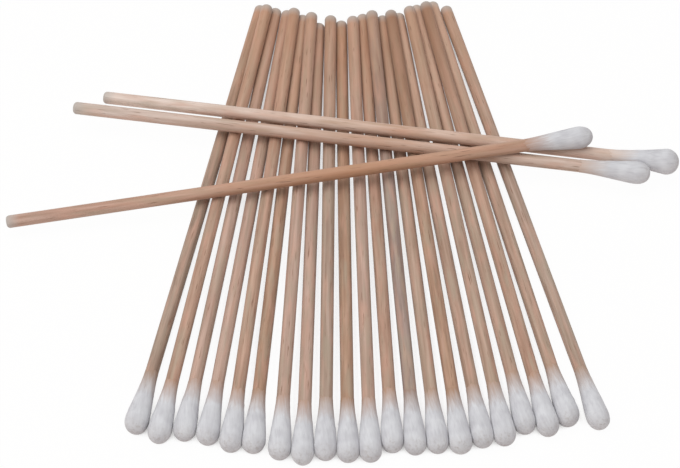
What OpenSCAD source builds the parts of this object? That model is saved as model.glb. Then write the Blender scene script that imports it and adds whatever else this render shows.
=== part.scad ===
// Two dozen cotton swabs, each a wooden stick with one wound cotton bud.
// Most lie side by side in a fan: the buds touch along the front and the plain ends crowd together at the back.
// Three more lie across the fan, two as a pair and one on top of that pair.
// The origin is the middle of the footprint, on the table. +Y points from the buds to the plain ends.

/* [Swab] */
// Length of a swab from the plain end of its stick to the tip of its bud
swab_len = 150; // [130:1:180]
// Diameter of the wooden stick
stick_d = 3.2; // [2.4:0.1:3.6]
// Radius of the rounding at the plain end of the stick
end_round = 0.9; // [0.3:0.1:1.1]
// Chamfer on the end of the stick inside the cotton
inner_chamfer = 0.3; // [0.1:0.1:0.6]

/* [Cotton bud] */
// Diameter of the bud at its widest circle
bud_d = 5.1; // [4.8:0.1:6.4]
// Length of the bud from its thin edge on the stick to its tip
bud_len = 17; // [15:0.5:24]
// Length of the round crown in front of the widest circle
crown_len = 3.6; // [2.8:0.1:5]
// Radius of the very tip
tip_round = 2.1; // [1.4:0.1:2.2]
// Radius of the hollow sweep where the bud leaves the stick
neck_round = 14; // [6:1:18]
// Thickness of the cotton at its thin edge
neck_film = 0.12; // [0.05:0.01:0.3]
// Thickness of the cotton in front of the end of the stick
tip_pad = 4; // [3:0.5:8]
// Clearance between the stick and the cotton wound on it
wrap_gap = 0.02; // [0.01:0.01:0.05]

/* [Fan] */
// Number of swabs in the fan
fan_count = 21; // [5:2:27]
// Closest distance between neighbouring sticks at the crowded plain ends
end_pitch = 1.9; // [1.9:0.1:4]
// Clearance between swabs that lie against each other
side_gap = 0.04; // [0.02:0.01:0.1]

/* [Laid across] */
// Distance from the row of plain ends to where the back swab of the pair crosses the middle of the fan
pair_station = 50; // [40:1:60]
// Heading of the pair, measured from the way the fan points
pair_turn = 79.3; // [74:0.1:90]
// Length of the back swab of the pair to the left of the middle of the fan
pair_reach = 67; // [60:0.5:80]
// Space between the bud of the front swab of the pair and the stick behind it
pair_gap = 0.8; // [0.1:0.1:3]
// How far the front swab of the pair is slid towards its plain end
pair_slip = 6.9; // [0:0.1:12]
// Distance from the row of plain ends to where the top swab crosses the middle of the fan
top_station = 67; // [62:1:80]
// Heading of the top swab, measured from the way the fan points
top_turn = 97.4; // [92:0.1:102]
// Length of the top swab to the left of the middle of the fan
top_reach = 89.5; // [80:0.5:96]
// Clearance under a swab that rests on others
rest_gap = 0.04; // [0.02:0.01:0.1]

/* [Hidden] */
$fn = 48;
arc_fn = 240;

// Extra space between neighbours of the fan, by pair from the left, at the plain ends and at the buds
END_SLACK = [0.3, 0.2, 0, 0.2, 0.3, 0.6, 0, 1.2, 0.9, 1.2, 0.8, 0.5, 0.9, 0.3, 0.3, 1, 0.4, 0.4, 0.4, 1.2];
BUD_SLACK = [0.6, 0.6, 0.4, 0.4, 0, 1, 0.2, 0, 0, 0, 0, 0, 0, 0.1, 0, 0, 0.1, 0, 0, 1.7];
// 1 for each swab of the fan, from the left, that is squeezed up at its plain end
RAISED = [0, 1, 0, 0, 1, 0, 1, 0, 1, 0, 1, 0, 1, 0, 1, 0, 1, 0, 1, 0, 0];
// How far each swab of the fan is pushed towards its bud, from the left
PUSH = [0.5, 2.5, 1, 1.5, 3, 3, 4.5, 6, 4.5, 5, 5, 2.5, 3.5, 3.5, 4, 3, 3, 0.5, 2, 0, 2.5];
// Tones of the sticks, used in turn
WOOD = ["#c4a48c", "#c8a387", "#bf9f8b", "#c9a68f", "#c9976f", "#c79a7b", "#c2a48f"];
COTTON = "#e3dfde";

stick_r = stick_d / 2;
bud_r = bud_d / 2;
neck_r = stick_r + neck_film;
wide_at = swab_len - crown_len;
bud_at = swab_len - bud_len;
stick_len = swab_len - tip_pad;
axle_len = wide_at - end_round;
shelf = crown_len * crown_len + bud_r * bud_r - 2 * crown_len * tip_round;
shoulder_round = shelf / (2 * (bud_r - tip_round));
balance = swab_len / 2;

// The flank is the straight line that touches the hollow sweep at the neck and the shoulder arc.
flank_rise = bud_r - neck_r;
flank_run = bud_len - crown_len;
both_arcs = neck_round + shoulder_round;
flank_span = norm([flank_run, both_arcs - flank_rise]);
flank_angle = atan2(flank_run, both_arcs - flank_rise) - acos(both_arcs / flank_span);
crown_angle = atan2(bud_len - tip_round - flank_run, shoulder_round - bud_r);

function heading(turn) = [sin(turn), -cos(turn)];
function left_of(way) = [-way.y, way.x];

// Two arcs about one point carry the fan: the plain ends lie on the small one and the widest circles on the large one.
gaps = fan_count - 1;
side_by_side = stick_d + side_gap;
function is_raised(i) = RAISED[i % len(RAISED)] == 1 && i < gaps;
// Two low neighbours lie side by side, and a raised one may be closer to its neighbours than its own width.
function end_step(k) =
    let (step = end_pitch + END_SLACK[k % len(END_SLACK)])
    is_raised(k) || is_raised(k + 1) ? step : max(step, side_by_side);
function bud_step(k) = bud_d + side_gap + BUD_SLACK[k % len(BUD_SLACK)];
// Distance along an arc from the first swab of the fan to swab i
function end_along(i) = i <= 0 ? 0 : end_along(i - 1) + end_step(i - 1);
function bud_along(i) = i <= 0 ? 0 : bud_along(i - 1) + bud_step(i - 1);
end_row = end_along(gaps);
bud_row = bud_along(gaps);
half_step = asin((bud_row - end_row) / gaps / 2 / axle_len);
end_arc = end_row / gaps / 2 / sin(half_step);
bud_arc = end_arc + axle_len;

function end_turn(i) = (end_along(i) - end_row / 2) / end_arc * 180 / PI;
function bud_turn(i) = (bud_along(i) - bud_row / 2) / bud_arc * 180 / PI;

function fan_way(i) =
    let (run = bud_arc * heading(bud_turn(i)) - end_arc * heading(end_turn(i))) run / norm(run);
// Plan position of the point where the rounding of the plain end starts
function fan_end(i) = end_arc * heading(end_turn(i)) + PUSH[i % len(PUSH)] * fan_way(i);

// A raised swab lies in the groove between its neighbours.
low_slope = (bud_r - stick_r) / axle_len;
function lift_over(i, j) =
    let (
        reach = max(0, (fan_end(j) - fan_end(i)) * fan_way(i)),
        apart = fan_end(i) + reach * fan_way(i) - fan_end(j),
        across = abs(apart * left_of(fan_way(j))),
        under = stick_r + low_slope * (apart * fan_way(j)),
        rise = across < side_by_side ? sqrt(side_by_side * side_by_side - across * across) : 0,
        level = rise > 0 ? under + rise : stick_r
    )
    bud_r + (level - bud_r) * axle_len / (axle_len - reach);
function fan_height(i) = is_raised(i) ? max(lift_over(i, i - 1), lift_over(i, i + 1)) : stick_r;
function fan_slope(i) = (bud_r - fan_height(i)) / axle_len;

// A swab laid across is [plan position of its plain end, heading vector, height of its axis there, slope].
function across_end(station, turn, reach) =
    (end_arc - end_round + station) * heading(0) - reach * heading(turn);

// Radius of a swab at a distance from its plain end, with the crown taken as half an ellipse
function girth(s) =
    let (b = s - bud_at, from_crown = swab_len - s)
    s < 0 || s > swab_len ? 0
    : b < 0 ? stick_r
    : b < neck_round * sin(flank_angle) ? neck_r + neck_round - sqrt(neck_round * neck_round - b * b)
    : b < flank_run ? min(bud_r, bud_r - (flank_run - b - shoulder_round * sin(flank_angle) / 2) * tan(flank_angle))
    : bud_r * sqrt(max(0, 1 - pow(1 - from_crown / crown_len, 2)));

// Heights that the axis needs, as [distance from the plain end, height], over the fan and over another swab
function over_fan(from, way) = [
    for (i = [0 : gaps])
        let (
            along = fan_way(i),
            cross_by = way.x * along.y - way.y * along.x,
            gap = fan_end(i) - from,
            s = (gap.x * along.y - gap.y * along.x) / cross_by,
            t = (gap.x * way.y - gap.y * way.x) / cross_by
        )
        if (s > 0 && s < bud_at && t > 0)
            [s, fan_height(i) + fan_slope(i) * t + stick_d + rest_gap]
];
function over_swab(from, way, under) = [
    for (s = [0 : 1 : swab_len])
        let (
            apart = from + s * way - under[0],
            t = apart * under[1],
            across = abs(apart * left_of(under[1])),
            sum_r = girth(s) + girth(t) + rest_gap
        )
        if (t > 0 && t < swab_len && across < sum_r)
            [s, under[2] + under[3] * t + sqrt(sum_r * sum_r - across * across)]
];

// A rod comes to rest on the two supports on either side of its balance point whose line is highest there.
function height_on(a, b, s) = a[1] + (b[1] - a[1]) * (s - a[0]) / (b[0] - a[0]);
function highest(edges) =
    let (best = max([for (e = edges) e[0]])) [for (e = edges) if (e[0] == best) e][0];
function at_rest(from, way, needs) =
    let (
        near = [for (n = needs) if (n[0] <= balance) n],
        far = [for (n = needs) if (n[0] > balance) n],
        edge = highest([for (a = near) for (b = far) [height_on(a, b, balance), a, b]])
    )
    [from, way, height_on(edge[1], edge[2], 0), (edge[2][1] - edge[1][1]) / (edge[2][0] - edge[1][0])];

pair_way = heading(pair_turn);
pair_apart = bud_r + stick_r + pair_gap;
back_end = across_end(pair_station, pair_turn, pair_reach);
front_end = back_end - pair_slip * pair_way - pair_apart * left_of(pair_way);
top_way = heading(top_turn);
top_end = across_end(top_station, top_turn, top_reach);
back_swab = at_rest(back_end, pair_way, over_fan(back_end, pair_way));
front_swab = at_rest(front_end, pair_way, over_fan(front_end, pair_way));
top_swab = at_rest(top_end, top_way, concat(
    over_fan(top_end, top_way),
    over_swab(top_end, top_way, back_swab),
    over_swab(top_end, top_way, front_swab)
));
ACROSS = [back_swab, front_swab, top_swab];

// Every swab as [plan position of its plain end, heading vector, height of its axis there, slope]
SWABS = concat(
    [for (i = [0 : gaps]) [
        fan_end(i) - end_round * fan_way(i), fan_way(i), fan_height(i) - end_round * fan_slope(i), fan_slope(i)
    ]],
    ACROSS
);

// Farthest reach of one swab in the direction of a unit vector in plan
function reach_of(swab, e) =
    let (beside = abs(swab[1] * left_of(e)), ahead = swab[1] * e)
    swab[0] * e + max(
        end_round * ahead + (stick_r - end_round) * beside + end_round,
        wide_at * ahead + bud_r * beside,
        (swab_len - tip_round) * ahead + tip_round
    );
function reach_all(e) = max([for (s = SWABS) reach_of(s, e)]);
middle = [reach_all([1, 0]) - reach_all([-1, 0]), reach_all([0, 1]) - reach_all([0, -1])] / 2;

function two_digits(n) = str(n < 10 ? "0" : "", n);
function part_name(kind, i) = str(kind, "_", two_digits(i + 1));

// Puts a swab drawn along +Z, plain end at the origin, where it rests.
module lay(swab) {
    translate([swab[0].x - middle.x, swab[0].y - middle.y, swab[2]])
        rotate([0, 90 - atan(swab[3]), atan2(swab[1].y, swab[1].x)])
            children();
}

module stick_profile() {
    difference() {
        polygon([
            [0, 0], [stick_r, 0], [stick_r, stick_len - inner_chamfer],
            [stick_r - inner_chamfer, stick_len], [0, stick_len]
        ]);
        difference() {
            translate([stick_r - end_round, 0]) square(end_round);
            translate([stick_r - end_round, end_round]) circle(end_round, $fn = arc_fn);
        }
    }
}

// The outline of the bud from its thin edge at y = 0 to its tip: neck, flank, shoulder, and half a disc as the tip
module bud_profile() {
    neck_y = neck_round * sin(flank_angle);
    neck_x = neck_r + neck_round * (1 - cos(flank_angle));
    shoulder_y = flank_run - shoulder_round * sin(flank_angle);
    shoulder_x = bud_r - shoulder_round * (1 - cos(flank_angle));
    crown_y = flank_run + shoulder_round * sin(crown_angle);
    difference() {
        square([neck_x, neck_y]);
        translate([neck_r + neck_round, 0]) circle(neck_round, $fn = arc_fn);
    }
    polygon([[0, neck_y], [neck_x, neck_y], [shoulder_x, shoulder_y], [0, shoulder_y]]);
    intersection() {
        translate([0, shoulder_y]) square([bud_d, crown_y - shoulder_y]);
        translate([bud_r - shoulder_round, flank_run]) circle(shoulder_round, $fn = arc_fn);
    }
    intersection() {
        translate([0, bud_len - 2 * tip_round]) square([tip_round, 2 * tip_round]);
        translate([0, bud_len - tip_round]) circle(tip_round, $fn = arc_fn);
    }
}

module stick(i) {
    color(WOOD[i * 3 % len(WOOD)]) lay(SWABS[i]) rotate_extrude() stick_profile();
}

module bud(i) {
    bore_len = bud_len - tip_pad + wrap_gap;
    color(COTTON) lay(SWABS[i]) translate([0, 0, bud_at]) rotate_extrude() difference() {
        bud_profile();
        square([stick_r + wrap_gap, bore_len]);
    }
}

for (i = [0 : len(SWABS) - 1]) {
    stick(i);
    bud(i);
}
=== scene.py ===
"""The looks of a set of wooden cotton swabs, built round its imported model.

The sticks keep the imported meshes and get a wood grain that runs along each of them. Each bud is wound anew:
a turned body, pressed by its neighbours and by the table, with cotton fibres on it.
Sizes are in millimetres, and meshes are in metres.
"""

import logging
import math
import random
from dataclasses import dataclass, field
from enum import Enum
from typing import ClassVar

import bpy
import numpy as np
from mathutils import Matrix, Vector


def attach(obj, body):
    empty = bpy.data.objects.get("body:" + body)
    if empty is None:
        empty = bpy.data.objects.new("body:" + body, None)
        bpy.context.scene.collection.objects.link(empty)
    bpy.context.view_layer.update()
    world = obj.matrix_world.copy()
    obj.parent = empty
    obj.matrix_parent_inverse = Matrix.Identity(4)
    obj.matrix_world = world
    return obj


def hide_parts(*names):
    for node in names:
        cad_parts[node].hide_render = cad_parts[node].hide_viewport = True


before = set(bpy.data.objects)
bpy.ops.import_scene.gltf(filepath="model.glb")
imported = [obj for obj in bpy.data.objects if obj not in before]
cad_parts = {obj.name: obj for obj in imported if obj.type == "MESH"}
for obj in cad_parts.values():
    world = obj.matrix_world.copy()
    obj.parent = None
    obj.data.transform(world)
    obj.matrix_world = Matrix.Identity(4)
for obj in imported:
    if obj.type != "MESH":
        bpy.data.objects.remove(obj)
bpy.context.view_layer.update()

log = logging.getLogger("swabs")
MM = 0.001
UP = Vector((0, 0, 1))
Span = tuple[float, float]
Tree = bpy.types.NodeTree
Socket = bpy.types.NodeSocket


def linear(colour: str) -> tuple[float, float, float, float]:
    """Turns an sRGB hex colour into linear light.

    Args:
        colour: The colour as "#rrggbb".

    Returns:
        Red, green, blue and an alpha of 1.
    """
    channels = [int(colour[i : i + 2], 16) / 255 for i in (1, 3, 5)]
    r, g, b = (c / 12.92 if c <= 0.04045 else ((c + 0.055) / 1.055) ** 2.4 for c in channels)
    return r, g, b, 1.0


def add(tree: Tree, kind: str, inputs: dict | None = None, **settings: object) -> bpy.types.Node:
    """Adds a node to a material, world or geometry tree.

    Args:
        tree: The tree.
        kind: The node's type.
        inputs: Values or output sockets, by the name or number of the input socket.
        **settings: The node's own properties.

    Returns:
        The node.
    """
    node = tree.nodes.new(kind)
    for name, value in settings.items():
        setattr(node, name, value)
    for key, value in (inputs or {}).items():
        if isinstance(value, Socket):
            tree.links.new(value, node.inputs[key])
        else:
            node.inputs[key].default_value = value
    return node


def blank_material(name: str) -> tuple[bpy.types.Material, Tree, bpy.types.Node]:
    """Makes a material with an output node and nothing else.

    Args:
        name: The material's name.

    Returns:
        The material, its node tree and the output node.
    """
    material = bpy.data.materials.new(name)
    material.use_nodes = True
    tree = material.node_tree
    tree.nodes.clear()
    return material, tree, add(tree, "ShaderNodeOutputMaterial")


@dataclass(frozen=True)
class Lie:
    """Where a swab lies: its plain end in metres, and the way from there to its tip."""

    end: Vector
    way: Vector

    @classmethod
    def of(cls, stick: bpy.types.Object, bud: bpy.types.Object) -> "Lie":
        """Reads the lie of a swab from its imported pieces.

        Args:
            stick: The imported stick.
            bud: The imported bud.

        Returns:
            The lie.
        """
        points = corners_of(stick)
        middle = points.mean(0)
        way = np.linalg.svd(points - middle, full_matrices=False)[2][0]
        if (corners_of(bud).mean(0) - middle) @ way < 0:
            way = -way
        lie = cls(Vector(middle), Vector(way))
        local = (points - middle) @ np.array(lie.turn())
        centre = (local.min(0) + local.max(0)) / 2
        shift = lie.turn() @ Vector((centre[0], centre[1], local[:, 2].min()))
        return cls(lie.end + shift, lie.way)

    def turn(self) -> Matrix:
        """Returns the rotation that takes +Z to the swab's way and +Y as near to upwards as can be."""
        side = UP.cross(self.way).normalized()
        return Matrix((side, self.way.cross(side), self.way)).transposed()

    def at(self, distance: float) -> Vector:
        """Returns the point of the axis at a distance in metres from the plain end."""
        return self.end + self.way * distance

    def placed(self, distance: float) -> Matrix:
        """Returns the matrix that puts a piece drawn along +Z at a distance in metres from the plain end."""
        return Matrix.Translation(self.at(distance)) @ self.turn().to_4x4()


def corners_of(piece: bpy.types.Object) -> np.ndarray:
    """Returns the vertices of a mesh as rows of x, y and z."""
    flat = np.empty(len(piece.data.vertices) * 3)
    piece.data.vertices.foreach_get("co", flat)
    return flat.reshape(-1, 3)


class WoodTone(Enum):
    """Tones of bare birch as (early wood, summer wood): each stick is cut from another log."""

    GREY = ("#bda494", "#9c8271")
    TAN = ("#c2a592", "#a28471")
    PINK = ("#c8a999", "#a88a7a")
    ORANGE = ("#c5a38e", "#a4806c")
    LILAC = ("#aa958b", "#8a746a")
    DUSK = ("#b09887", "#907767")
    RUSSET = ("#ba967d", "#987660")
    PALE = ("#dccabf", "#c2ab9e")
    CREAM = ("#eeddd2", "#d7c2b5")
    BRIGHT = ("#c9a999", "#ab8775")

    def mottled(self) -> np.ndarray:
        """Returns the tone's mean with its pink and grey flecks, in linear light."""
        hues = (*self.value, BareBirch.pinker, BareBirch.greyer)
        return sum(share * np.array(linear(hue)[:3]) for share, hue in zip((0.4, 0.4, 0.11, 0.11), hues))


@dataclass(frozen=True)
class TintAndPaintedLight:
    """How a stick's wood changes hue along it, where most, in millimetres from the plain end, how much and to what: a
    warm hue, which on some sticks stands in for light and shade as painted light, painted shade and painted bounce
    light.
    """

    at: float = 0.0
    share: float = 0.48
    hue: str = "#b98560"


@dataclass(frozen=True)
class BareBirch:
    """Birch dowel, milled and left bare: a matt, pale wood with long streaks, short dark pores and greyer plain ends.

    Its colour wanders between pink and grey in long flecks. Sizes are in millimetres, and a cut is the range of a
    noise over which a mark sets in. Birch pores are about 0.1 mm wide, and are drawn twice as wide to show.
    """

    stretch: float = 26.0
    streak: float = 0.9
    streak_cut: Span = (0.36, 0.66)
    vein: float = 0.32
    vein_cut: Span = (0.42, 0.72)
    vein_share: float = 0.5
    pore: float = 0.2
    pore_cut: Span = (0.66, 0.74)
    pore_hue: str = "#86624d"
    fleck: float = 1.3
    fleck_stretch: float = 7.0
    fleck_cut: Span = (0.46, 0.72)
    fleck_share: float = 0.55
    pinker: str = "#cda08c"
    greyer: str = "#a99a86"
    warm_reach: float = 70.0
    end_grey_reach: float = 3.4
    end_grey: str = "#b9b1aa"
    roughness: Span = (0.52, 0.74)
    relief: float = 0.06

    def make(self, name: str, lie: Lie, tone: WoodTone, seed: float, tint_and_painted_light: TintAndPaintedLight) -> bpy.types.Material:
        """Makes the wood of one stick, with its grain along that stick.

        Args:
            name: The material's name.
            lie: Where the stick lies.
            tone: The log it is cut from.
            seed: Where in the log it is cut.
            tint_and_painted_light: How its hue changes along it, with painted light and painted shade on some sticks.

        Returns:
            The material.
        """
        material, tree, output = blank_material(name)
        place = add(tree, "ShaderNodeTexCoord").outputs["Object"]
        own = {"Vector": place, "Location": lie.end, "Rotation": lie.turn().to_euler(), "Scale": (MM, MM, MM)}
        local = add(tree, "ShaderNodeMapping", own, vector_type="TEXTURE").outputs[0]

        def grain(size: float, detail: float, rough: float, stretch: float, shift: float = 0.0) -> Socket:
            """Returns noise of a size in millimetres, drawn out along the stick."""
            scale, move = (1, 1, 1 / stretch), (seed + shift, shift - seed, 0)
            pulled = add(tree, "ShaderNodeMapping", {"Vector": local, "Location": move, "Scale": scale}).outputs[0]
            given = {"Vector": pulled, "W": seed, "Scale": 1 / size, "Detail": detail, "Roughness": rough}
            return add(tree, "ShaderNodeTexNoise", given, noise_dimensions="4D").outputs["Fac"]

        streaks, veins = grain(self.streak, 2, 0.5, self.stretch), grain(self.vein, 3, 0.6, self.stretch)
        pores = grain(self.pore, 1, 0.5, self.stretch)
        pink, grey = (grain(self.fleck, 1, 0.5, self.fleck_stretch, shift) for shift in (40.0, 80.0))
        along = add(tree, "ShaderNodeSeparateXYZ", {0: local}).outputs["Z"]
        away = add(tree, "ShaderNodeMath", {0: along, 1: tint_and_painted_light.at}, operation="SUBTRACT").outputs[0]
        off = add(tree, "ShaderNodeMath", {0: away}, operation="ABSOLUTE").outputs[0]
        early, summer = tone.value
        # Each layer covers the ones before it: its pattern, the cut, the shares at the cut's two ends and the colour
        layers = {
            "streaks": (streaks, self.streak_cut, (0.0, 1.0), summer),
            "veins": (veins, self.vein_cut, (0.0, self.vein_share), summer),
            "pink flecks": (pink, self.fleck_cut, (0.0, self.fleck_share), self.pinker),
            "grey flecks": (grey, self.fleck_cut, (0.0, self.fleck_share), self.greyer),
            # The warm hue along the stick, which is painted light on some sticks, painted shade on others and painted
            # bounce light where sticks lie over the fan
            "tint_and_painted_light": (off, (0.0, self.warm_reach), (tint_and_painted_light.share, 0.0), tint_and_painted_light.hue),
            "pores": (pores, self.pore_cut, (0.0, 1.0), self.pore_hue),
            # Greyer over the last few millimetres towards the plain end
            "end_grey": (along, (0.0, self.end_grey_reach), (1.0, 0.0), self.end_grey),
        }
        hue, shares = linear(early), {}
        for layer, (pattern, cut, ends, colour) in layers.items():
            given = {0: pattern, 1: cut[0], 2: cut[1], 3: ends[0], 4: ends[1]}
            share = shares[layer] = add(tree, "ShaderNodeMapRange", given).outputs[0]
            hue = add(tree, "ShaderNodeMix", {0: share, 6: hue, 7: linear(colour)}, data_type="RGBA").outputs[2]
        height = add(tree, "ShaderNodeMath", {0: veins, 1: shares["pores"]}, operation="SUBTRACT").outputs[0]
        relief = {"Height": height, "Strength": 0.5, "Distance": self.relief * MM}
        worn, scraped = self.roughness
        given = {
            "Base Color": hue,
            "Roughness": add(tree, "ShaderNodeMapRange", {0: veins, 3: worn, 4: scraped}).outputs[0],
            "Normal": add(tree, "ShaderNodeBump", relief).outputs[0],
            "IOR": 1.5,
            "Specular IOR Level": 0.35,
            "Sheen Weight": 0.08,
            "Sheen Roughness": 0.5,
        }
        skin = add(tree, "ShaderNodeBsdfPrincipled", given)
        tree.links.new(skin.outputs[0], output.inputs[0])
        return material


@dataclass(frozen=True)
class WoundCotton:
    """Bleached cotton, wound on dry: a dull off-white with fine streaks, thin enough at its edge to show the wood.

    Sizes are in millimetres, and a cut is the range of a noise or a sum over which a mark sets in.
    """

    clean: str = "#dadadd"
    shade: str = "#c9c8cc"
    shade_cut: Span = (0.78, 1.25)
    streak: float = 0.55
    stretch: float = 7.0
    cloud: float = 10 / 3
    speck: float = 1 / 1.1
    handled: str = "#a89e98"
    handled_cut: Span = (0.5, 0.68)
    handled_share: Span = (0.16, 0.6)
    torn: float = 0.6
    film_cut: Span = (0.41, 1.24)
    relief: float = 0.07

    def make(self) -> bpy.types.Material:
        """Makes the cotton, which reads the wound, film, crown and tone attributes of a bud.

        Returns:
            The material.
        """
        material, tree, output = blank_material("bleached_wound_cotton")
        wound, film, crown, wood = (
            add(tree, "ShaderNodeAttribute", attribute_name=name).outputs[kind]
            for name, kind in (("wound", "Vector"), ("film", "Fac"), ("crown", "Fac"), ("tone", "Color"))
        )
        pulled = add(tree, "ShaderNodeMapping", {"Vector": wound, "Scale": (1, 1, 1 / self.stretch)}).outputs[0]
        fine = {"Vector": pulled, "Scale": 1 / self.streak, "Detail": 4, "Roughness": 0.62}
        coarse = {"Vector": wound, "Scale": 1 / self.speck, "Detail": 3, "Roughness": 0.7}
        streaks = add(tree, "ShaderNodeTexNoise", fine).outputs["Fac"]
        specks = add(tree, "ShaderNodeTexNoise", coarse).outputs["Fac"]
        clouds = add(tree, "ShaderNodeTexNoise", {"Vector": wound, "Scale": 1 / self.cloud, "Detail": 1}).outputs["Fac"]
        both = add(tree, "ShaderNodeMath", {0: streaks, 1: clouds}, operation="ADD").outputs[0]
        thin = add(tree, "ShaderNodeMath", {0: streaks, 1: self.torn, 2: film}, operation="MULTIPLY_ADD").outputs[0]
        grey, grime, through = (
            add(tree, "ShaderNodeMapRange", {0: value, 1: cut[0], 2: cut[1], 3: ends[0], 4: ends[1]}).outputs[0]
            for value, cut, ends in (
                (both, self.shade_cut, (0.0, 1.0)),
                (specks, self.handled_cut, self.handled_share),
                (thin, self.film_cut, (0.0, 1.0)),
            )
        )
        soiled = add(tree, "ShaderNodeMath", {0: grime, 1: crown}, operation="MULTIPLY").outputs[0]
        hue = linear(self.clean)
        for share, over in ((grey, linear(self.shade)), (soiled, linear(self.handled)), (through, wood)):
            hue = add(tree, "ShaderNodeMix", {0: share, 6: hue, 7: over}, data_type="RGBA").outputs[2]
        relief = {"Height": streaks, "Strength": 0.3, "Distance": self.relief * MM}
        given = {
            "Base Color": hue,
            "Roughness": 0.95,
            "Normal": add(tree, "ShaderNodeBump", relief).outputs[0],
            "Specular IOR Level": 0.15,
            "Sheen Weight": 0.08,
            "Sheen Roughness": 0.5,
        }
        skin = add(tree, "ShaderNodeBsdfPrincipled", given)
        tree.links.new(skin.outputs[0], output.inputs[0])
        return material


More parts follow.
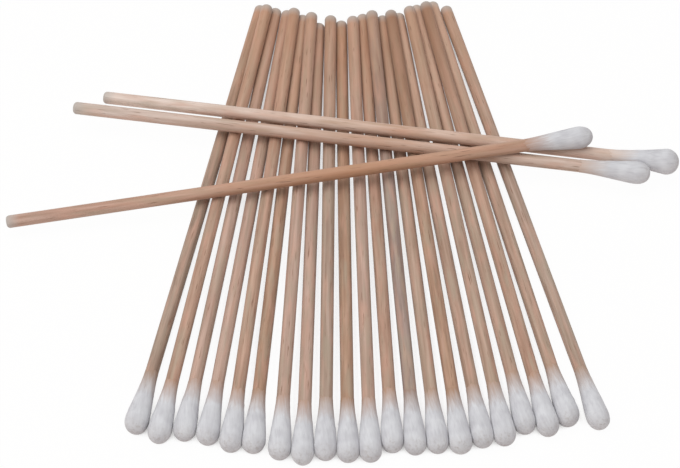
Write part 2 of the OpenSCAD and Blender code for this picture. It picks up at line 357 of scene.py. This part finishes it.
@dataclass(frozen=True)
class FibreCoat:
    """The uneven surface of wound cotton, as a Geometry Nodes tree with named inputs.

    Sizes are in millimetres. A cotton fibre is a flat ribbon about 0.02 mm wide, and is drawn twice as wide to show.
    Lifts and lengths are shares of lift and fibre_len. Most fibres lie at the least lift, and few stand proud.
    """

    lump: float = 0.11
    lumps_per_mm: float = 0.28
    ridge: float = 0.035
    ridges_per_mm: float = 1.5
    ridge_stretch: float = 0.14
    per_mm2: float = 0.9
    fibre_len: float = 2.6
    fibre_d: float = 0.04
    flatness: tuple[float, float, float] = (1.0, 1.2, 0.4)
    arch: float = 0.7
    lift: float = 0.035
    least_lift: float = 0.6
    proud_lift: float = 4.0
    proud_rarity: float = 9.0
    lengths: Span = (0.5, 1.1)
    stray: Span = (-0.45, 0.3)

    def tree(self) -> Tree:
        """Builds the tree.

        Returns:
            The tree, which takes a bud's body and gives it lumps, ridges and fibres.
        """
        tree = bpy.data.node_groups.new("fibre_coat", "GeometryNodeTree")
        tree.interface.new_socket("Geometry", in_out="OUTPUT", socket_type="NodeSocketGeometry")
        kinds = {"Geometry": "Geometry", "Lump": "Float", "Ridge": "Float", "Density": "Float", "Fibre Length": "Float"}
        kinds |= {"Fibre Radius": "Float", "Lift": "Float", "Seed": "Int", "Cotton": "Material"}
        for name, kind in kinds.items():
            tree.interface.new_socket(name, in_out="INPUT", socket_type=f"NodeSocket{kind}")
        given = add(tree, "NodeGroupInput").outputs
        coat = self._body(tree, given)
        hairs = self._laid(tree, coat, self._hairs(tree, given, coat, self._fibre(tree, given)))
        smooth = add(tree, "GeometryNodeSetShadeSmooth", {0: coat})
        joined = add(tree, "GeometryNodeJoinGeometry")
        tree.links.new(smooth.outputs[0], joined.inputs[0])
        tree.links.new(hairs, joined.inputs[0])
        real = add(tree, "GeometryNodeRealizeInstances", {0: joined.outputs[0]})
        dressed = add(tree, "GeometryNodeSetMaterial", {0: real.outputs[0], "Material": given["Cotton"]})
        add(tree, "NodeGroupOutput", {0: dressed.outputs[0]})
        return tree

    def _body(self, tree: Tree, given: bpy.types.NodeOutputs) -> Socket:
        """Adds the lumps and the wound ridges to the body.

        Args:
            tree: The tree.
            given: The tree's inputs.

        Returns:
            The body with its relief.
        """
        wound = add(tree, "GeometryNodeInputNamedAttribute", {"Name": "wound"}, data_type="FLOAT_VECTOR").outputs[0]
        skin = add(tree, "GeometryNodeInputNamedAttribute", {"Name": "skin"}, data_type="FLOAT").outputs[0]
        seed = add(tree, "ShaderNodeMath", {0: given["Seed"], 1: 3.7}, operation="MULTIPLY").outputs[0]
        pull = {0: wound, 1: (1, 1, self.ridge_stretch)}
        pulled = add(tree, "ShaderNodeVectorMath", pull, operation="MULTIPLY").outputs[0]
        heights = {}
        for place, per_mm, detail, height in (
            (wound, self.lumps_per_mm, 1, given["Lump"]),
            (pulled, self.ridges_per_mm, 2, given["Ridge"]),
        ):
            pattern = {"Vector": place, "W": seed, "Scale": per_mm, "Detail": detail}
            noise = add(tree, "ShaderNodeTexNoise", pattern, noise_dimensions="4D").outputs[0]
            signed = add(tree, "ShaderNodeMath", {0: noise, 1: 0.5}, operation="SUBTRACT").outputs[0]
            heights[len(heights)] = add(tree, "ShaderNodeMath", {0: signed, 1: height}, operation="MULTIPLY").outputs[0]
        total = add(tree, "ShaderNodeMath", heights, operation="ADD").outputs[0]
        relief = add(tree, "ShaderNodeMath", {0: total, 1: skin}, operation="MULTIPLY").outputs[0]
        normal = add(tree, "GeometryNodeInputNormal").outputs[0]
        offset = add(tree, "ShaderNodeVectorMath", {0: normal, "Scale": relief}, operation="SCALE").outputs[0]
        return add(tree, "GeometryNodeSetPosition", {0: given["Geometry"], "Offset": offset}).outputs[0]

    def _fibre(self, tree: Tree, given: bpy.types.NodeOutputs) -> Socket:
        """Builds one arched, flattened fibre along X, which keeps its height above the surface as an attribute.

        Args:
            tree: The tree.
            given: The tree's inputs.

        Returns:
            The fibre.
        """
        half = add(tree, "ShaderNodeMath", {0: given["Fibre Length"], 1: 0.5}, operation="MULTIPLY").outputs[0]
        back = add(tree, "ShaderNodeMath", {0: half, 1: -1.0}, operation="MULTIPLY").outputs[0]
        start, stop = (add(tree, "ShaderNodeCombineXYZ", {"X": end}).outputs[0] for end in (back, half))
        line = add(tree, "GeometryNodeCurvePrimitiveLine", {"Start": start, "End": stop}).outputs[0]
        fine = add(tree, "GeometryNodeResampleCurve", {"Curve": line, "Count": 5}).outputs[0]
        place = add(tree, "GeometryNodeInputPosition").outputs[0]
        run = add(tree, "ShaderNodeSeparateXYZ", {0: place}).outputs["X"]
        share = add(tree, "ShaderNodeMath", {0: run, 1: half}, operation="DIVIDE").outputs[0]
        square = add(tree, "ShaderNodeMath", {0: share, 1: share}, operation="MULTIPLY").outputs[0]
        arch = add(tree, "ShaderNodeMath", {0: self.arch, 1: square}, operation="SUBTRACT").outputs[0]
        bow, rise = (
            add(tree, "ShaderNodeMath", {0: part, 1: given["Lift"]}, operation="MULTIPLY").outputs[0]
            for part in (square, arch)
        )
        bend = add(tree, "ShaderNodeCombineXYZ", {"Y": bow, "Z": rise}).outputs[0]
        bent = add(tree, "GeometryNodeSetPosition", {0: fine, "Offset": bend}).outputs[0]
        section = add(tree, "GeometryNodeCurvePrimitiveCircle", {"Resolution": 4, "Radius": given["Fibre Radius"]})
        swept = {0: bent, "Profile Curve": section.outputs[0], "Fill Caps": True}
        tube = add(tree, "GeometryNodeCurveToMesh", swept).outputs[0]
        flat = add(tree, "GeometryNodeTransform", {0: tube, "Scale": self.flatness}).outputs[0]
        above = add(tree, "ShaderNodeSeparateXYZ", {0: place}).outputs["Z"]
        kept = {0: flat, "Name": "above", "Value": above}
        return add(tree, "GeometryNodeStoreNamedAttribute", kept, data_type="FLOAT").outputs[0]

    def _hairs(self, tree: Tree, given: bpy.types.NodeOutputs, coat: Socket, fibre: Socket) -> Socket:
        """Scatters fibres over the body, most of them low and a few that stand proud.

        Args:
            tree: The tree.
            given: The tree's inputs.
            coat: The body.
            fibre: One fibre.

        Returns:
            The fibres as instances.
        """
        skin = add(tree, "GeometryNodeInputNamedAttribute", {"Name": "skin"}, data_type="FLOAT").outputs[0]
        thick = add(tree, "ShaderNodeMath", {0: given["Density"], 1: skin}, operation="MULTIPLY").outputs[0]
        spots = add(tree, "GeometryNodeDistributePointsOnFaces", {0: coat, "Density": thick, "Seed": given["Seed"]})
        upright = spots.outputs["Normal"]
        across = add(tree, "ShaderNodeVectorMath", {0: upright, 1: (0, 0, 1)}, operation="CROSS_PRODUCT").outputs[0]
        low, high = self.stray
        stray = add(tree, "FunctionNodeRandomValue", {2: low, 3: high, "Seed": given["Seed"]}).outputs[1]
        leant = add(tree, "ShaderNodeVectorMath", {0: across, "Scale": stray}, operation="SCALE").outputs[0]
        way = add(tree, "ShaderNodeVectorMath", {0: leant, 1: (0, 0, 1)}).outputs[0]
        axes = {"Primary Axis": upright, "Secondary Axis": way}
        turn = add(tree, "FunctionNodeAxesToRotation", axes, primary_axis="Z", secondary_axis="X").outputs[0]
        other = add(tree, "ShaderNodeMath", {0: given["Seed"], 1: 101}).outputs[0]
        chance = add(tree, "FunctionNodeRandomValue", {2: 0.0, 3: 1.0, "Seed": other}).outputs[1]
        rare = add(tree, "ShaderNodeMath", {0: chance, 1: self.proud_rarity}, operation="POWER").outputs[0]
        least, longest = self.lengths
        proud, reach = (
            add(tree, "ShaderNodeMath", dict(enumerate(factors)), operation="MULTIPLY_ADD").outputs[0]
            for factors in ((rare, self.proud_lift, self.least_lift), (chance, longest - least, least))
        )
        kept = {0: spots.outputs[0], "Name": "proud", "Value": proud}
        marked = add(tree, "GeometryNodeStoreNamedAttribute", kept, data_type="FLOAT").outputs[0]
        size = add(tree, "ShaderNodeCombineXYZ", {"X": reach, "Y": 1.0, "Z": 1.0}).outputs[0]
        laid = {0: marked, "Instance": fibre, "Rotation": turn, "Scale": size}
        return add(tree, "GeometryNodeInstanceOnPoints", laid).outputs[0]

    @staticmethod
    def _laid(tree: Tree, coat: Socket, hairs: Socket) -> Socket:
        """Bends the fibres so that they follow the body and keep their heights above it.

        Args:
            tree: The tree.
            coat: The body.
            hairs: The fibres as instances.

        Returns:
            The fibres as a mesh.
        """
        real = add(tree, "GeometryNodeRealizeInstances", {0: hairs}).outputs[0]
        above, proud = (
            add(tree, "GeometryNodeInputNamedAttribute", {"Name": name}, data_type="FLOAT").outputs[0]
            for name in ("above", "proud")
        )
        height = add(tree, "ShaderNodeMath", {0: above, 1: proud}, operation="MULTIPLY").outputs[0]
        nearest = []
        for kind in ("GeometryNodeInputPosition", "GeometryNodeInputNormal"):
            sampled = {0: coat, "Value": add(tree, kind).outputs[0]}
            found = add(tree, "GeometryNodeSampleNearestSurface", sampled, data_type="FLOAT_VECTOR")
            nearest.append(found.outputs[0])
        foot, upright = nearest
        lifted = add(tree, "ShaderNodeVectorMath", {0: upright, "Scale": height}, operation="SCALE").outputs[0]
        place = add(tree, "ShaderNodeVectorMath", {0: foot, 1: lifted}).outputs[0]
        return add(tree, "GeometryNodeSetPosition", {0: real, "Position": place}).outputs[0]

    def grow(self, body: bpy.types.Object, tree: Tree, cotton: bpy.types.Material, seed: int) -> None:
        """Runs the tree on a bud's body and keeps the result as its mesh.

        Args:
            body: The bud's body, whose mesh is replaced.
            tree: The tree from tree().
            cotton: The material.
            seed: The seed of everything random on this bud.
        """
        values = {
            "Lump": self.lump * MM,
            "Ridge": self.ridge * MM,
            "Density": self.per_mm2 / MM**2,
            "Fibre Length": self.fibre_len * MM,
            "Fibre Radius": self.fibre_d / 2 * MM,
            "Lift": self.lift * MM,
            "Seed": seed,
            "Cotton": cotton,
        }
        coat = body.modifiers.new("fibre_coat", "NODES")
        coat.node_group = tree
        for item in tree.interface.items_tree:
            if item.in_out == "INPUT" and item.name in values:
                coat[item.identifier] = values[item.name]
        done = bpy.data.meshes.new_from_object(body.evaluated_get(bpy.context.evaluated_depsgraph_get()))
        body.modifiers.remove(coat)
        plain, body.data = body.data, done
        bpy.data.meshes.remove(plain)


@dataclass
class Bud:
    """A wound cotton bud, turned along +Z from its thin edge on the stick to its tip. Sizes are in millimetres.

    The pad is the cotton in front of the stick, thin is how far wood shows through, and feather is how far the bud
    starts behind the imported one. The pattern is where the noises of the cotton are read, and is drawn in towards the
    pole. The relief starts where bare ends and grows calm at the tip, and slump is how much the bud sags to one side.
    """

    length: float
    stick_r: float
    seed: int
    full_r: float = 2.8
    swell: float = 1.5
    film: float = 0.02
    pad: float = 3.98
    bore_gap: float = 0.012
    crown: float = 3.5
    bluntness: float = 2.15
    fray: float = 1.3
    thin: float = 9.0
    feather: float = 1.2
    twist: float = 0.9
    pattern_r: float = 2.6
    pattern_pole: float = 0.85
    pattern_step: float = 11.0
    bare: float = 2.5
    calm_tip: float = 1.8
    calmest: float = 0.15
    fray_reach: float = 7.0
    slump: float = 0.09
    jags: tuple[int, ...] = (2, 3, 5, 7, 11, 16, 23)
    rings: int = 54
    sides: int = 72
    chance: random.Random = field(init=False)

    def __post_init__(self) -> None:
        """Varies this bud a little from the next one."""
        self.chance = random.Random(self.seed)
        self.full_r *= self.chance.uniform(0.97, 1.03)
        self.crown *= self.chance.uniform(0.92, 1.08)
        self.bluntness *= self.chance.uniform(0.95, 1.1)
        self.fray *= self.chance.uniform(0.7, 1.3)

    def radius(self, z: np.ndarray) -> np.ndarray:
        """Returns the free radius at a distance from the thin edge.

        Args:
            z: Distances.

        Returns:
            Radii: a hollow neck, a flank and a round crown.
        """
        widest = self.length - self.crown
        u = np.clip(z / widest, 0, 1)
        growth = 0.45 * u * u * (3 - 2 * u) + 0.55 * u**self.swell
        flank = self.stick_r + self.film + (self.full_r - self.stick_r - self.film) * growth
        v = np.clip((z - widest) / self.crown, 0, 1)
        return flank * (1 - v**self.bluntness) ** (1 / self.bluntness)

    def outline(self) -> tuple[np.ndarray, np.ndarray, np.ndarray]:
        """Draws the closed outline from the pole in the bore to the pole at the tip.

        Returns:
            Radii, heights, and 1 on the outside or 0 in the bore.
        """
        bore = self.stick_r + self.bore_gap
        deep = self.length - self.pad
        inner = [(0, deep), (bore, deep), (bore, deep / 2), (bore, self.fray + 0.4)]
        z = self.length * np.sin(np.linspace(0, math.pi / 2, self.rings))
        r = self.radius(z)
        r[-1] = 0
        edge = [(bore, 0), (self.stick_r + self.film, 0), (self.stick_r + self.film, 0.03)]
        rim = inner + edge
        radii = np.concatenate([[p[0] for p in rim], r[1:]])
        heights = np.concatenate([[p[1] for p in rim], z[1:]])
        outside = np.concatenate([np.zeros(len(inner) + 1), np.ones(len(z) + 1)])
        return radii, heights, outside

    def points(self) -> tuple[np.ndarray, np.ndarray, np.ndarray]:
        """Turns the outline round the axis and frays its thin edge.

        Returns:
            Vertices as rings by sides by xyz, their angles, and the outside mark of each ring.
        """
        radii, heights, outside = self.outline()
        angle = np.linspace(0, 2 * math.pi, self.sides, endpoint=False)
        jag = np.zeros(self.sides)
        for waves in self.jags:
            jag += np.sin(waves * angle + self.chance.uniform(0, 2 * math.pi)) / math.sqrt(waves)
        jag = (jag - jag.min()) / (jag.max() - jag.min())
        near = np.clip(1 - heights / self.fray_reach, 0, 1) ** 2
        height = heights[:, None] + self.fray * near[:, None] * jag[None, :]
        spread = radii[:, None] * np.ones(self.sides)
        lean = self.chance.uniform(0, 2 * math.pi)
        slump = np.clip(spread - self.stick_r - 0.2, 0, None) * self.slump * outside[:, None]
        x = spread * np.cos(angle) + slump * math.cos(lean)
        y = spread * np.sin(angle) + slump * math.sin(lean)
        return np.stack([x, y, height], -1), angle, outside

    def mesh(self, name: str, wood: WoodTone) -> bpy.types.Mesh:
        """Builds the body's mesh along +Z, in metres.

        Args:
            name: The mesh's name.
            wood: The tone of the stick, which shows through the thin cotton.

        Returns:
            The mesh, with the skin, film, crown, wound and tone attributes.
        """
        grid, angle, outside = self.points()
        height = grid[..., 2]
        to_tip = self.length - height
        turned = angle[None, :] + height / self.length * self.twist
        across = np.hypot(grid[..., 0], grid[..., 1])
        inwards = np.where(to_tip < self.crown, np.clip(across / (self.pattern_pole * self.full_r), 0, 1), 1)
        reach = self.pattern_r * inwards
        wound = np.stack([reach * np.cos(turned), reach * np.sin(turned), height], -1) + self.pattern_step * self.seed
        rings, sides = grid.shape[:2]
        film = np.clip(1 - height / self.thin, 0, 1)
        skin = outside[:, None] * np.clip((height - self.bare) / (self.thin - self.bare), 0, 1)
        skin = skin * np.clip(to_tip / self.calm_tip, self.calmest, 1)
        crown = np.clip(1 - to_tip / self.crown, 0, 1)
        poles = [grid[0].mean(0), grid[-1].mean(0)]
        body = np.vstack([grid[1:-1].reshape(-1, 3), poles])
        count = rings - 2
        first, last = count * sides, count * sides + 1
        faces: list[tuple[int, ...]] = []
        for j in range(sides):
            k = (j + 1) % sides
            faces.append((first, k, j))
            for i in range(count - 1):
                low, high = i * sides, (i + 1) * sides
                faces.append((low + j, low + k, high + k, high + j))
            faces.append((last, (count - 1) * sides + j, (count - 1) * sides + k))
        mesh = bpy.data.meshes.new(name)
        mesh.from_pydata((body * MM).tolist(), [], faces)
        for label, values in (("skin", skin), ("film", film), ("crown", crown)):
            flat = np.append(values[1:-1].ravel(), [values[0, 0], values[-1, 0]])
            mesh.attributes.new(label, "FLOAT", "POINT").data.foreach_set("value", flat)
        pattern = np.vstack([wound[1:-1].reshape(-1, 3), wound[0].mean(0), wound[-1].mean(0)])
        for label, vectors in (("wound", pattern), ("tone", np.tile(wood.mottled(), (len(body), 1)))):
            mesh.attributes.new(label, "FLOAT_VECTOR", "POINT").data.foreach_set("vector", vectors.ravel())
        mesh.update()
        return mesh


# Buds that the photo shows fuller than the rest: the first of the fan, and the bulb of the back one of the pair
ODD_BUDS: dict[int, dict[str, float]] = {1: {"full_r": 2.95}, 22: {"full_r": 3.2, "swell": 2.6}}

# Sticks whose wood doesn't take the common warm hue. The plain ends of 6, 16, 18 and 20, which lie low in shade between
# raised neighbours, get painted light, and those of 15 and 19 get painted shade. 22, 23 and 24 get a warmer hue where
# they lie over the fan, which is painted bounce light from its wood.
PAINTED_LIGHT_END, PAINTED_SHADE_END = TintAndPaintedLight(share=0.6, hue="#d9af93"), TintAndPaintedLight(share=0.9, hue="#986f54")
PAINTED_LIGHT_TINTS: dict[int, TintAndPaintedLight] = {
    6: PAINTED_LIGHT_END, 15: PAINTED_SHADE_END, 16: PAINTED_LIGHT_END, 18: PAINTED_LIGHT_END, 19: PAINTED_SHADE_END, 20: PAINTED_LIGHT_END,
    22: TintAndPaintedLight(at=80.0), 23: TintAndPaintedLight(at=80.0), 24: TintAndPaintedLight(at=88.0, share=0.7),
}  # fmt: skip


@dataclass(frozen=True)
class Press:
    """Something flat that a soft bud lies against: a point of it and its outward way, in the bud's own frame in mm."""

    point: np.ndarray
    way: np.ndarray
    give: float = 0.14

    def shape(self, body: np.ndarray, free: np.ndarray) -> None:
        """Pushes back what would go through, with a soft edge.

        Args:
            body: Vertices, changed in place.
            free: Marks of the vertices that may move.
        """
        room = (body - self.point) @ self.way
        pushed = np.where(room < self.give, self.give * np.exp((room - self.give) / self.give), room)
        body += np.where(free, pushed - room, 0)[:, None] * self.way


@dataclass(frozen=True)
class RodPress:
    """A stick that a soft bud lies on: a point of its axis, its way and its radius, in the bud's own frame in mm."""

    point: np.ndarray
    way: np.ndarray
    radius: float

    def shape(self, body: np.ndarray, free: np.ndarray) -> None:
        """Pushes what would go into the stick out to its surface.

        Args:
            body: Vertices, changed in place.
            free: Marks of the vertices that may move.
        """
        apart = body - self.point
        apart -= (apart @ self.way)[:, None] * self.way
        distance = np.linalg.norm(apart, axis=1)
        short = np.where(free & (distance < self.radius), self.radius - distance, 0)
        body += (short / np.maximum(distance, 1e-6))[:, None] * apart


@dataclass
class Swab:
    """One swab: its packed stick, its packed bud and where they lie. Places along it are in metres."""

    crown: ClassVar[float] = 3.6 * MM
    reach: ClassVar[float] = 9.0 * MM
    soft_part: ClassVar[float] = 12.0 * MM

    number: int
    tone: WoodTone
    stick: bpy.types.Object = field(init=False)
    packed_bud: bpy.types.Object = field(init=False)
    lie: Lie = field(init=False)
    radius: float = field(init=False)
    bud_at: float = field(init=False)
    tip_at: float = field(init=False)

    def __post_init__(self) -> None:
        """Finds the swab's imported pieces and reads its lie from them."""
        self.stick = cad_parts[f"stick_{self.number:02d}"]
        self.packed_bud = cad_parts[f"bud_{self.number:02d}"]
        self.lie = Lie.of(self.stick, self.packed_bud)
        section = (corners_of(self.stick) - np.array(self.lie.end)) @ np.array(self.lie.turn())
        self.radius = float(np.hypot(section[:, 0], section[:, 1]).max())
        reach = (corners_of(self.packed_bud) - np.array(self.lie.end)) @ np.array(self.lie.way)
        self.bud_at, self.tip_at = float(reach.min()), float(reach.max())

    def widest(self) -> Vector:
        """Returns the middle of the bud's widest circle, in metres."""
        return self.lie.at(self.tip_at - self.crown)

    def dress_stick(self, wood: BareBirch) -> None:
        """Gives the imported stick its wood.

        Args:
            wood: The finish.
        """
        # The wood's tint along the stick, which brings painted light and painted shade to the sticks that have a tint
        # of their own
        name, tint_and_painted_light = f"bare_birch_{self.number:02d}", PAINTED_LIGHT_TINTS.get(self.number, TintAndPaintedLight())
        material = wood.make(name, self.lie, self.tone, 4.1 * self.number, tint_and_painted_light)
        for slot in self.stick.material_slots:
            slot.link = "OBJECT"
            slot.material = material
        log.info("stick_%02d: %s birch", self.number, self.tone.name.lower())

    def presses(self, others: list["Swab"], start: float) -> list["Press | RodPress"]:
        """Finds what the bud lies against.

        Args:
            others: The other swabs.
            start: Where the bud's thin edge is, in metres from the plain end.

        Returns:
            The table, the neighbouring buds and the sticks under it, in the bud's own frame.
        """
        inverse = self.lie.placed(start).inverted()
        turn = np.array(inverse.to_3x3())

        def local(point: Vector) -> np.ndarray:
            """Returns a point in the bud's own frame, in mm."""
            return np.array(inverse @ point) / MM

        found: list[Press | RodPress] = [Press(local(Vector((0, 0, 0))), turn @ np.array(UP))]
        centre = self.widest()
        for other in others:
            along = (centre - other.lie.end) @ other.lie.way
            foot = other.lie.at(along)
            apart = centre - foot
            if 0 < along < other.tip_at and apart.length < self.reach:
                if along > other.tip_at - self.soft_part:
                    found.append(Press(local((centre + foot) / 2), turn @ np.array(apart.normalized())))
                else:
                    found.append(RodPress(local(other.lie.end), turn @ np.array(other.lie.way), other.radius / MM))
        return found

    def wind_bud(self, others: list["Swab"], coat: FibreCoat, tree: Tree, cotton: bpy.types.Material) -> None:
        """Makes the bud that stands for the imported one.

        Args:
            others: The other swabs.
            coat: The finish of its surface.
            tree: The tree of that finish.
            cotton: The material.
        """
        name = f"wound_bud_{self.number:02d}"
        start = self.bud_at - Bud.feather * MM
        length, stick_r = (self.tip_at - start) / MM, self.radius / MM
        bud = Bud(length, stick_r, self.number, **ODD_BUDS.get(self.number, {}))
        piece = bpy.data.objects.new(name, bud.mesh(name, self.tone))
        bpy.context.scene.collection.objects.link(piece)
        coat.grow(piece, tree, cotton, self.number)
        body = corners_of(piece) / MM
        free = np.hypot(body[:, 0], body[:, 1]) > bud.stick_r + bud.film
        for press in self.presses(others, start):
            press.shape(body, free)
        piece.data.vertices.foreach_set("co", (body * MM).ravel())
        piece.data.transform(self.lie.placed(start))
        piece.data.name = name
        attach(piece, "root")
        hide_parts(f"bud_{self.number:02d}")
        log.info("%s: %d faces", name, len(piece.data.polygons))


@dataclass
class SwabSet:
    """All the swabs, by number: the fan from the left, then the three that lie across it."""

    tones: tuple[WoodTone, ...] = (
        WoodTone.DUSK, WoodTone.ORANGE, WoodTone.PINK, WoodTone.PINK, WoodTone.ORANGE, WoodTone.RUSSET,
        WoodTone.PINK, WoodTone.PINK, WoodTone.GREY, WoodTone.RUSSET, WoodTone.PINK, WoodTone.ORANGE,
        WoodTone.LILAC, WoodTone.TAN, WoodTone.RUSSET, WoodTone.TAN, WoodTone.TAN, WoodTone.TAN,
        WoodTone.ORANGE, WoodTone.TAN, WoodTone.GREY, WoodTone.CREAM, WoodTone.PALE, WoodTone.BRIGHT,
    )  # fmt: skip
    wood: BareBirch = BareBirch()
    cotton: WoundCotton = WoundCotton()
    coat: FibreCoat = FibreCoat()

    def build(self) -> None:
        """Dresses every stick and winds every bud."""
        swabs = [Swab(i + 1, tone) for i, tone in enumerate(self.tones)]
        material, tree = self.cotton.make(), self.coat.tree()
        for swab in swabs:
            swab.dress_stick(self.wood)
            swab.wind_bud([s for s in swabs if s is not swab], self.coat, tree, material)


@dataclass(frozen=True)
class Studio:
    """A plain pale table under soft light, with a white ground. Lengths are in metres.

    The paper shows white where it is open and its own lit colour in narrow gaps. A gap is a place that little of the
    sky within gap_reach gets to, and gap_cut is the range of that share over which the white sets in.
    """

    floor_size: float = 6.0
    floor_z: float = -0.00005
    paper: str = "#f4ece8"
    open_share: float = 0.97
    gap_share: float = 0.06
    gap_reach: float = 0.0045
    gap_cut: Span = (0.03, 0.2)
    sky: float = 0.53
    key_place: tuple[float, float, float] = (-0.3, -0.08, 0.94)
    key_size: float = 0.9
    key_power: float = 6.0

    def build(self) -> None:
        """Builds the floor, the world and the lamp."""
        self._floor()
        self._world()
        lamp = bpy.data.lights.new("key", "AREA")
        lamp.size, lamp.energy = self.key_size, self.key_power
        key = bpy.data.objects.new("key", lamp)
        key.location = self.key_place
        key.rotation_euler = (-Vector(self.key_place)).to_track_quat("-Z", "Y").to_euler()
        bpy.context.scene.collection.objects.link(key)

    @staticmethod
    def _seen(tree: Tree) -> Socket:
        """Returns 1 for a ray from the camera, or one that shows the ground in gloss or glass."""
        path = add(tree, "ShaderNodeLightPath").outputs
        first = add(tree, "ShaderNodeMath", {0: path["Is Camera Ray"], 1: path["Is Glossy Ray"]}, operation="MAXIMUM")
        both = {0: first.outputs[0], 1: path["Is Transmission Ray"]}
        return add(tree, "ShaderNodeMath", both, operation="MAXIMUM").outputs[0]

    def _floor(self) -> None:
        """Builds the floor, white to the camera but for soft shadows and narrow gaps that light hardly reaches."""
        half = self.floor_size / 2
        mesh = bpy.data.meshes.new("floor")
        ring = [(-half, -half), (half, -half), (half, half), (-half, half)]
        mesh.from_pydata([(x, y, self.floor_z) for x, y in ring], [], [(0, 1, 2, 3)])
        material, tree, output = blank_material("white_paper")
        paper = add(tree, "ShaderNodeBsdfDiffuse", {"Color": linear(self.paper)}).outputs[0]
        glow = add(tree, "ShaderNodeEmission", {"Color": (1, 1, 1, 1), "Strength": 1.0}).outputs[0]
        near = add(tree, "ShaderNodeAmbientOcclusion", {"Distance": self.gap_reach}, samples=8).outputs["AO"]
        low, high = self.gap_cut
        lit = {0: near, 1: low, 2: high, 3: self.gap_share, 4: self.open_share}
        white = add(tree, "ShaderNodeMapRange", lit).outputs[0]
        share = add(tree, "ShaderNodeMath", {0: self._seen(tree), 1: white}, operation="MULTIPLY").outputs[0]
        both = add(tree, "ShaderNodeMixShader", {0: share, 1: paper, 2: glow}).outputs[0]
        tree.links.new(both, output.inputs[0])
        mesh.materials.append(material)
        floor = bpy.data.objects.new("floor", mesh)
        bpy.context.scene.collection.objects.link(floor)

    def _world(self) -> None:
        """Lights the scene from all round, and shows white behind it."""
        world = bpy.data.worlds.new("soft_room")
        world.use_nodes = True
        tree = world.node_tree
        tree.nodes.clear()
        room = add(tree, "ShaderNodeBackground", {0: (1, 1, 1, 1), 1: self.sky}).outputs[0]
        white = add(tree, "ShaderNodeBackground", {0: (1, 1, 1, 1), 1: 1.0}).outputs[0]
        both = add(tree, "ShaderNodeMixShader", {0: self._seen(tree), 1: room, 2: white}).outputs[0]
        add(tree, "ShaderNodeOutputWorld", {0: both})
        bpy.context.scene.world = world


@dataclass(frozen=True)
class Viewpoint:
    """Where the camera stands. Angles are in degrees and lengths in metres; the picture is 680 by 468 pixels."""

    picture_width: float = 680.0
    focal_px: float = 2500.0
    sensor: float = 36.0
    elevation: float = 47.3
    heading: float = 0.32
    roll: float = -1.1
    distance: float = 0.6292
    target: tuple[float, float, float] = (-0.00142, -0.00465, 0.0)

    def build(self) -> None:
        """Makes the camera and gives it to the scene."""
        camera = bpy.data.cameras.new("camera")
        camera.sensor_width = self.sensor
        camera.lens = self.sensor * self.focal_px / self.picture_width
        camera.clip_start, camera.clip_end = 0.01, 20.0
        tilt, side, roll = (math.radians(a) for a in (self.elevation, self.heading, self.roll))
        ahead = Vector((math.cos(tilt) * math.sin(side), math.cos(tilt) * math.cos(side), -math.sin(tilt)))
        right = ahead.cross(UP).normalized()
        above = right.cross(ahead)
        across = right * math.cos(roll) + above * math.sin(roll)
        upward = above * math.cos(roll) - right * math.sin(roll)
        stand = bpy.data.objects.new("camera", camera)
        turn = Matrix((across, upward, -ahead)).transposed()
        stand.matrix_world = Matrix.Translation(Vector(self.target) - ahead * self.distance) @ turn.to_4x4()
        bpy.context.scene.collection.objects.link(stand)
        bpy.context.scene.camera = stand


def main() -> None:
    """Builds the view, the studio and the swabs."""
    logging.basicConfig(level=logging.INFO, format="%(message)s")
    bpy.context.scene.view_settings.view_transform = "Standard"
    Viewpoint().build()
    Studio().build()
    SwabSet().build()
    bpy.context.view_layer.update()


if __name__ == "__main__":
    main()
